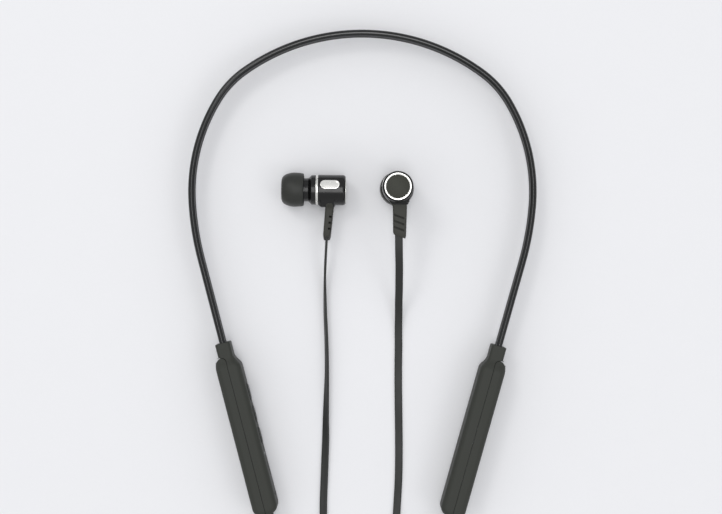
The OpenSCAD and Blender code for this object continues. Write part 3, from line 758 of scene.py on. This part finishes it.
def seam_outline(gap, rounded_tip):
    """The plan of what the outer shell takes. gap moves it outward; its tip may be rounded."""
    x, top, low = SEAM + gap, -TONGUE_TOP - gap, -POD_LENGTH - ASIDE
    arc = [
        (x + TONGUE_RADIUS + TONGUE_RADIUS * math.cos(math.radians(a)),
         top - TONGUE_RADIUS + TONGUE_RADIUS * math.sin(math.radians(a)))
        for a in range(90, 181, 9)
    ]
    if not rounded_tip:
        return [(x, low), (ASIDE, low), (ASIDE, top)] + arc
    return [(x, low), (ASIDE, low)] + TONGUE_FLANK + [p for p in arc if p[0] < TONGUE_ARC_X]


def down_stack(name, levels):
    """A stack of outlines down the pod: levels are (y, outline in x and z)."""
    return loft(name, [[(x, y, -z) for x, z in outline] for y, outline in levels])


def hollow(shell):
    """Cuts a shell's cavity, the band's socket and the cord's way out."""

    def room(inset):
        half_width, half_height = POD_WIDTH / 2 - WALL - inset, POD_HEIGHT / 2 - WALL - inset
        return rounded_rect(half_width, half_height, CAVITY_RADIUS, 5)

    first, last, ease = -CAVITY[0], -CAVITY[1], CAVITY_EASE
    levels = ((first, ease), (first - ease, 0), (last + ease, 0), (last, ease))
    combine(shell, down_stack("cavity", [(y, room(inset)) for y, inset in levels]))
    socket = stadium(BAND_HEIGHT + SOCKET_CLEAR, BAND_WIDTH + SOCKET_CLEAR, 10)
    combine(shell, down_stack("socket", [(1, socket), (-SLEEVE_IN, socket)]))
    way = circle(CORD_WAY, 0, 32)
    combine(shell, down_stack("cord_way", [(-POD_LENGTH + 2 * WALL, way), (-POD_LENGTH - 1, way)]))


def across_bar(name, outline, start, end):
    """A bar through the pod's inner side. The outline is (y, z); start and end are x."""
    return loft(name, [[(x, y, z) for y, z in outline] for x in (start, end)])


def moved(outline, y):
    """Moves an outline in y and z along the pod."""
    return [(a + y, b) for a, b in outline]


def along_y(outline, y):
    """Turns an outline so that its length runs down the pod, round y."""
    return [(b + y, -a) for a, b in outline]


BUTTON_YS = {"volume_up": -20.5, "play": -29.0, "volume_down": -37.5}
BUTTON_LENGTH, BUTTON_WIDTH, BUTTON_PROUD, KEY_CLEAR = 6.6, 4.4, 0.4, 0.2
SMALL_HOLES = ((-15, 1.0), (-44.5, 1.4))  # y and diameter: the microphone's and the lamp's
PORT_Y, PORT_HALF, PORT_RADIUS = -54.5, (3.85, 1.5), 1.45
FLAP_LENGTH, FLAP_HEIGHT, FLAP_RADIUS, FLAP_THICK, FLAP_CLEAR = 11.4, 5.2, 0.6, 0.7, 0.2
POCKET_DEPTH = 0.9
OUTSIDE, INSIDE = FACE - 1, FACE + 2 * WALL  # where a cut through the inner side starts and ends


def open_inner_side(shell):
    """Cuts the openings for the keys, the flap with its port, the microphone and the lamp."""
    opening = stadium(BUTTON_LENGTH + 2 * KEY_CLEAR, BUTTON_WIDTH + 2 * KEY_CLEAR, 12)
    for y in BUTTON_YS.values():
        combine(shell, across_bar("opening", along_y(opening, y), OUTSIDE, INSIDE))
    pocket = rounded_rect(FLAP_LENGTH / 2 + FLAP_CLEAR, FLAP_HEIGHT / 2 + FLAP_CLEAR, FLAP_RADIUS, 5)
    combine(shell, across_bar("pocket", moved(pocket, PORT_Y), OUTSIDE, FACE + POCKET_DEPTH))
    port = rounded_rect(*PORT_HALF, PORT_RADIUS, 6)
    combine(shell, across_bar("port", moved(port, PORT_Y), OUTSIDE, INSIDE))
    for y, diameter in SMALL_HOLES:
        combine(shell, across_bar("hole", moved(circle(diameter, 0, 24), y), OUTSIDE, INSIDE))


GLAND_RIBS, RIB_PITCH, RIB_DEPTH = 5, 1.25, 0.32


def gland_profile():
    """The cord's gland: a flange inside the pod, and a ribbed tail that bends with the cord."""
    out = [(1.0, 1.0), (2.8, 1.0), (2.8, 0), (2.2, 0), (2.2, -1.2)]
    for k in range(GLAND_RIBS):
        z, r = -2.2 - RIB_PITCH * k, 2.18 - 0.09 * k
        out += [(r, z), (r - RIB_DEPTH, z - 0.12), (r - RIB_DEPTH, z - 0.5), (r - 0.05, z - 0.62)]
    return out + [(1.72, -9.2), (1.0, -9.2)]


for side, matrix in PODS.items():
    inner = combine(pod_body(side + "_pod_inner"), plan_prism("zone", seam_outline(-SEAM_GAP / 2, False)))
    hollow(inner)
    if side == "left":
        open_inner_side(inner)
    bevel(inner, SHELL_BEVEL)
    done(shade(place(inner, matrix)), side + "_half", "pod_shell", side + "_inner_shell")

    outer = combine(
        pod_body(side + "_pod_outer"), plan_prism("zone", seam_outline(SEAM_GAP / 2, True)), "INTERSECT"
    )
    hollow(outer)
    bevel(outer, SHELL_BEVEL)
    done(shade(place(outer, matrix)), side + "_half", "pod_shell", side + "_outer_shell")

    gland = lathe(side + "_gland", fillet(gland_profile(), 0.14, 2), 48)
    turn = Matrix.Translation((0, -CAVITY[1], 0)) @ Matrix.Rotation(math.radians(-90), 4, "X")
    done(shade(place(gland, matrix @ turn)), side + "_half", "relief_rubber", side + "_cord_gland")


# ---- The keys ----
def across_stack(name, make, levels):
    """A stack of outlines through the pod's inner side: levels are (x, inset)."""
    return loft(name, [[(x, y, z) for y, z in make(inset)] for x, inset in levels])


def symbol(kind):
    """Generic marks for the keys, as outlines in y and z: a plus, a dot and a minus."""
    bar = rounded_rect(1.1, 0.17, 0.15, 3)
    if kind == "volume_down":
        return [bar]
    if kind == "volume_up":
        return [bar, [(-b, a) for a, b in bar]]
    return [circle(1.5, 0, 24)]


KEY_EDGE, KEY_FLANGE, MARK_DEPTH = 0.4, 0.5, 0.14
FLANGE_X = FACE + WALL + 0.1


def key_cap(name, y):
    """A round-edged key with a flange behind the shell, and its mark sunk in its face."""

    def outline(inset):
        return along_y(stadium(BUTTON_LENGTH - 2 * inset, BUTTON_WIDTH - 2 * inset, 12), y)

    front = FACE - BUTTON_PROUD
    levels = [(FLANGE_X + KEY_FLANGE, -KEY_FLANGE), (FLANGE_X, -KEY_FLANGE), (FLANGE_X - 0.01, 0)]
    levels += [(front + d, inset) for d, inset in edge(0, KEY_EDGE, 5, False)[::-1]]
    key = across_stack(name + "_cap", outline, levels)
    for mark in symbol(name):
        combine(key, across_bar("mark", moved(mark, y), front - 1, front + MARK_DEPTH))
    return key


for name, y in BUTTON_YS.items():
    key = key_cap(name, y)
    done(shade(place(key, LEFT_POD), 50), name + "_key", "button_rubber", name + "_button")


# ---- The port's flap: a plate with grip lines, and a plug ----
PLUG_HALF, PLUG_RADIUS, PLUG_REACH = (3.2, 0.7), 0.6, 1
GRIP_LINES, GRIP_PITCH, GRIP_DEPTH = 3, 0.7, 0.12


def flap_plate(inset):
    """The flap's outline in y and z."""
    return moved(rounded_rect(FLAP_LENGTH / 2 - inset, FLAP_HEIGHT / 2 - inset, FLAP_RADIUS, 5), PORT_Y)


def flap_plug(inset):
    """The outline of its plug, which goes into the port."""
    return moved(rounded_rect(PLUG_HALF[0] - inset, PLUG_HALF[1] - inset, PLUG_RADIUS, 5), PORT_Y)


plate_levels = edge(0, 0.25, 4, False) + edge(FLAP_THICK, 0.1, 2)
flap = across_stack("port_flap", flap_plate, [(FACE + d, inset) for d, inset in plate_levels])
plug_levels = [(FLAP_THICK - 0.1, 0)] + edge(FLAP_THICK + PLUG_REACH, 0.2, 3)
plug = across_stack("plug", flap_plug, [(FACE + d, inset) for d, inset in plug_levels])
combine(flap, plug, "UNION")
groove = rounded_rect(0.14, 1.5, 0.13, 3)
for k in range(GRIP_LINES):
    y = PORT_Y + FLAP_LENGTH / 2 - 1.0 - GRIP_PITCH * k
    combine(flap, across_bar("groove", moved(groove, y), OUTSIDE, FACE + GRIP_DEPTH))
done(shade(place(flap, LEFT_POD), 45), "usb_flap", "button_rubber", "usb_cover")


# ---- The earbuds, each in its own frame: rear face at z = 0, nozzle towards -z, cord towards -y ----
RIGHT_BUD = Matrix.Translation((RIGHT_BACK.x / MM, RIGHT_BACK.y / MM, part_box("right_rear_ring")[1].z / MM))
LEFT_BUD = Matrix.Translation(
    (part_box("left_rear_ring")[1].x / MM, LEFT_BACK.y / MM, LEFT_BACK.z / MM)
) @ Matrix.Rotation(math.radians(90), 4, "Y")
BUDS = {"left": LEFT_BUD, "right": RIGHT_BUD}
BODY_R, BODY_END, BODY_WALL, REAR_EDGE = 5.75, -10.6, 0.9, 1.3
STEM_Z, STEM_X = -6.2, 0.9  # the middle of the cord's boot
# The body's short neck, which the boot plugs into: its front and rear, how far it reaches, its fillet
NECK_Z, NECK_END, NECK_FILLET = (-9.7, -4.2), 6.5, 0.5
NECK_HALF_WIDTH, NECK_SLOPES = 2.95, (0.8, 2.2)


def soft_max(a, b, k):
    """The larger of two lengths, with a fillet of about k where they meet."""
    h = max(k - abs(a - b), 0) / k
    return max(a, b) + h * h * k / 4


def neck(angle, z):
    """How far out the neck reaches, in one direction and at one height."""
    d = Vector((math.cos(angle), math.sin(angle)))
    corners = [
        Vector(corner)
        for corner in (
            (4.9, 1), (-4.9, 1), (-4.6, -3.4), (STEM_X - NECK_HALF_WIDTH, -NECK_END),
            (STEM_X + NECK_HALF_WIDTH, -NECK_END), (4.9, -2.9),
        )
    ]
    reach = math.inf
    for a, b in zip(corners, corners[1:] + corners[:1]):
        out = Vector(((b - a).y, -(b - a).x))
        if out.dot(a) < 0:
            out = -out
        if out.dot(d) > 1e-6:
            reach = min(reach, out.dot(a) / out.dot(d))
    # its front and rear faces slope
    over = max((NECK_Z[0] + 0.3 - z) * NECK_SLOPES[0], (z - NECK_Z[1] + 0.2) * NECK_SLOPES[1], 0)
    return reach - over


def body_radius(angle, r, z):
    """The bud's turned body, grown out to the neck in a soft blend."""
    if r < BODY_R - 0.02 or math.sin(angle) > -0.1:
        return r
    return soft_max(r, neck(angle, z), NECK_FILLET)


def bud_body(name):
    """The body: a seat for the rear ring, a round rear edge, the side with its neck, and the hollow."""
    out = [(0, -0.8), (4.98, -0.8), (5.05, -0.72), (5.05, -0.26), (5.07, -0.2)]
    for k in range(9):
        a = math.radians(59 - 59 * k / 8)
        out.append((BODY_R - REAR_EDGE + REAR_EDGE * math.cos(a), -REAR_EDGE + REAR_EDGE * math.sin(a)))
    # down the side, with rings close together where the neck's faces slope
    start = -REAR_EDGE
    for end, count in ((-3.2, 5), (-5.0, 16), (-8.6, 12), (-10.4, 16)):
        out += [(BODY_R, start + (end - start) * k / count) for k in range(1, count + 1)]
        start = end
    out += [(BODY_R - 0.04, BODY_END + 0.06), (BODY_R - 0.1, BODY_END)]
    inner = BODY_R - BODY_WALL
    out += [(inner + 0.05, BODY_END), (inner, BODY_END + 0.05), (inner, -2.5), (inner - 0.1, -2.4), (0, -2.4)]
    return lathe(name, out, 160, body_radius)


# Both bright rings have a step, which stays dark beside the bright line
FRONT_RING = [(4.85, -10.6), (4.85, -11.5), (5.4, -11.5), (5.4, -11.2), (5.65, -11.15), (5.65, -10.6)]
BACK_RING = [(4.35, -0.4), (4.35, -0.8), (5.0, -0.8), (5.0, 0), (4.55, 0), (4.5, -0.4)]
BACK_DISC = [(0, -0.15), (0, -0.8), (4.3, -0.8), (4.3, -0.45), (4.16, -0.2), (4.1, -0.15)]

BADGE_LENGTH, BADGE_WIDTH, BADGE_TOP, BADGE_RIM = 7.3, 3.5, BODY_R + 0.1, 0.5
BADGE_FACE = BADGE_TOP - 0.09  # sunk inside the rim
BADGE_Z, BADGE_TURN = -6.05, 160.0  # its middle along the body, and its direction in degrees


def curved_badge(name):
    """A plain pill that hugs the body's side, with a low rim round its face."""

    def pill(inset):
        return stadium(BADGE_LENGTH - 2 * inset, BADGE_WIDTH - 2 * inset, 16)

    def on_side(r, across, along):
        a = math.radians(BADGE_TURN) + across / BODY_R
        return r * math.cos(a), r * math.sin(a), BADGE_Z + along

    levels = (
        (BODY_R - 0.25, 0), (BADGE_TOP - 0.08, 0), (BADGE_TOP - 0.02, 0.03), (BADGE_TOP, 0.1),
        (BADGE_TOP, BADGE_RIM - 0.12), (BADGE_FACE, BADGE_RIM),
    )
    rings = [[on_side(r, *point) for point in pill(inset)] for r, inset in levels]
    # the face closes in on the pill's spine
    spine_end = (BADGE_LENGTH - BADGE_WIDTH) / 2
    for share in (0.75, 0.5, 0.25):
        ring = []
        for across, along in pill(BADGE_RIM):
            spine = max(min(along, spine_end), -spine_end)
            ring.append(on_side(BADGE_FACE, across * share, spine + (along - spine) * share))
        rings.append(ring)
    return loft(name, rings)


BOOT_ENDS = (-17.5, -19.2)  # where its slanted lower end is, on its -x and +x sides
BOOT_HALF_WIDTHS, BOOT_HALF_THICK, BOOT_RADIUS = (2.65, 2.4), 1.6, 0.7
# The rim: y, half width and half thickness
BOOT_RIM = (
    (-5.0, 3.5, 0.95), (-5.15, 3.85, 1.3), (-5.6, 3.6, 1.5), (-6.1, 3.2, 1.6), (-6.5, 2.8, 1.6),
)
SLOTS, SLOT_PITCH, SLOT_HALF, SLOT_REACH, SLOT_SLOPE = 3, 2.25, 0.38, 8, math.tan(math.radians(-20))
# The slots on each face: the side they open to, their ends in x, the first one's y, its floor, and how
# much deeper each next floor is
SLOT_FACES = ((1, -4, 1.55, -11.1, -6.3, 0.22), (-1, -1.3, 5, -12.9, -7.4, 0))


def cut_slots(boot):
    """Cuts the slanted slots into both faces of the boot."""
    for way, x0, x1, first_y, floor_z, deeper in SLOT_FACES:
        shape = ((x0, -SLOT_HALF), (x1, -SLOT_HALF), (x1 + 0.2, 0), (x1, SLOT_HALF), (x0, SLOT_HALF))
        for k in range(SLOTS):
            y, z = first_y - SLOT_PITCH * k, floor_z - deeper * k
            slot = [(STEM_X + x, y + x * SLOT_SLOPE + dy) for x, dy in shape]
            ends = (z, z + way * SLOT_REACH)
            combine(boot, loft("slot", [[(*point, end) for point in slot] for end in ends]))


def strain_relief(name):
    """A flat tapered boot with three slanted slots on each face, and a rim that hugs the body's neck."""
    top, (wide, narrow) = -NECK_END, BOOT_HALF_WIDTHS
    rings = []
    for y, half_width, half_thick in BOOT_RIM:
        outline = rounded_rect(half_width, half_thick, BOOT_RADIUS, 6)
        rings.append([(STEM_X - 0.25 + x, y, STEM_Z + z) for x, z in outline])
    steps = 14
    for k in range(1, steps + 1):
        t = k / steps
        ease = 0.25 if k == steps else 0
        # the boot leans towards the nozzle on its way down, and thins a little
        low_z = STEM_Z - BOOT_HALF_THICK - 0.8 * t + ease
        high_z = STEM_Z + BOOT_HALF_THICK - 1.2 * t - ease
        ring = []
        for x, z in rounded_rect(wide + (narrow - wide) * t - ease, (high_z - low_z) / 2, BOOT_RADIUS, 6):
            end = BOOT_ENDS[0] + (BOOT_ENDS[1] - BOOT_ENDS[0]) * (x + narrow) / (2 * narrow)
            ring.append((STEM_X + x, top + (end - top) * t, (low_z + high_z) / 2 + z))
        rings.append(ring)
    boot = loft(name, rings)
    cut_slots(boot)
    return bevel(boot, 0.07, 2, 40)


# The nozzle: its seat in the body, a collar, a neck, a stem with a barb, and the bore
NOZZLE = [
    (4.3, -10.1), (4.8, -10.1), (4.8, -11.5), (5.6, -11.5), (5.6, -13.1), (4.4, -14.3), (4.4, -16.3),
    (2.45, -16.5), (2.45, -19.55), (2.75, -19.85), (2.75, -20.35), (2.4, -21.6),
    (1.7, -21.6), (1.7, -13.7), (4.3, -12.4),
]


TIP_RADIUS, DOME_WIDTH, DOME_START, DOME_LENGTH = 6.5, 2.8, -19.2, 5.3


def tip_profile():
    """The silicone tip: a core on the nozzle, and a thin skirt that folds back over it."""
    # the skirt's rear rim and side
    out = [
        (5.66, -16.25), (5.82, -16.1), (6.06, -16.14), (6.18, -16.3), (6.27, -16.7), (6.36, -17.3),
        (6.43, -18.1),
    ]
    # the dome
    for k in range(15):
        a = math.radians(90 * k / 14)
        r = TIP_RADIUS - DOME_WIDTH * (1 - math.cos(a))
        out.append((r, DOME_START - DOME_LENGTH * math.sin(a) ** 0.93))
    # the mouth and the core
    out += [
        (3.0, -24.5), (2.35, -24.47), (2.02, -24.3), (1.9, -23.95), (1.9, -22.5), (2.1, -22.35),
        (2.7, -22.3), (2.82, -22.2), (2.82, -16.85), (2.95, -16.7), (3.45, -16.7), (3.62, -16.85),
        (3.7, -17.2),
    ]
    # the skirt's inner side
    out += [
        (3.7, -21.6), (3.85, -22.3), (4.3, -22.7), (4.8, -22.65), (5.3, -22.1), (5.65, -21.2),
        (5.86, -20.2), (5.94, -19.2), (5.94, -18.2), (5.85, -17.2), (5.74, -16.6),
    ]
    return out


for side, matrix in BUDS.items():
    half, tip = side + "_half", side + "_tip"
    done(shade(place(bud_body(side + "_housing"), matrix)), half, "bud_gloss", side + "_bud_body")
    trim = lathe(side + "_front_ring", fillet(FRONT_RING, 0.08, 3), 128)
    done(shade(place(trim, matrix)), half, "bright_metal", side + "_trim_ring")
    rear = lathe(side + "_back_ring", fillet(BACK_RING, 0.08, 3), 128)
    done(shade(place(rear, matrix)), half, "bright_metal", side + "_rear_ring")
    disc = lathe(side + "_back_disc", BACK_DISC, 128)
    done(shade(place(disc, matrix)), half, "disc_matte", side + "_rear_disc", material=DISCS[side])
    nozzle = lathe(side + "_spout", fillet(NOZZLE, 0.18, 3), 96)
    done(shade(place(nozzle, matrix), 50), half, "bud_gloss", side + "_nozzle")
    done(shade(place(curved_badge(side + "_badge"), matrix)), half, "bright_metal", side + "_badge_plate")
    boot = strain_relief(side + "_boot")
    done(shade(place(boot, matrix)), half, "relief_rubber", side + "_strain_relief")
    skirt = lathe(side + "_silicone_tip", tip_profile(), 96)
    done(shade(place(skirt, matrix), 60), tip, "tip_silicone", side + "_ear_tip")


# ---- CAD nodes whose shape is right get their material ----
SLOT_OF = {part["node"]: part["material_slot"] for part in frame["record"]["subparts"]}
for name, obj in frame["nodes"].items():
    if not obj.hide_render:
        material = MESH_LOOK if name.endswith("nozzle_mesh") else MATERIALS[SLOT_OF[name]]
        for slot in obj.material_slots:
            slot.material = material


# ---- Floor and light ----
FLOOR_SIZE = 6.0

floor = new_object(
    "floor", [(FLOOR_SIZE * x, FLOOR_SIZE * y, 0) for x, y in ((-1, -1), (1, -1), (1, 1), (-1, 1))],
    [(0, 1, 2, 3)], smooth=False,
)
floor.data.materials.append(
    finish("floor", (0.80, 0.80, 0.815), 0.75, vary=0.006, grain=900, bump=0.04, smears=0.04)
)

# Name, place, width and height, power and colour. All are aimed at the middle of the table.
LIGHTS = (
    ("key", (-0.6, 0.7, 1.2), (0.45, 0.35), 2.6, (1.0, 0.99, 0.97)),
    ("fill", (0.85, -0.5, 1.0), (0.35, 0.45), 1.0, (0.97, 0.98, 1.0)),
    ("top", (0, 0.02, 1.2), (0.2, 0.8), 3.2, (1, 1, 1)),
)
for name, at, size, power, colour in LIGHTS:
    data = bpy.data.lights.new(name, "AREA")
    data.shape, data.size, data.size_y = "RECTANGLE", *size
    data.energy, data.color = power, colour
    light = bpy.data.objects.new(name, data)
    bpy.context.scene.collection.objects.link(light)
    light.location = at
    light.rotation_euler = (-Vector(at)).to_track_quat("-Z", "Y").to_euler()

SKY_COLOUR, SKY_STRENGTH = (0.93, 0.94, 0.96, 1), 0.8
world = bpy.data.worlds.new("studio")
world.use_nodes = True
world.node_tree.nodes["Background"].inputs["Color"].default_value = SKY_COLOUR
world.node_tree.nodes["Background"].inputs["Strength"].default_value = SKY_STRENGTH
bpy.context.scene.world = world
bpy.context.scene.view_settings.view_transform = "Standard"
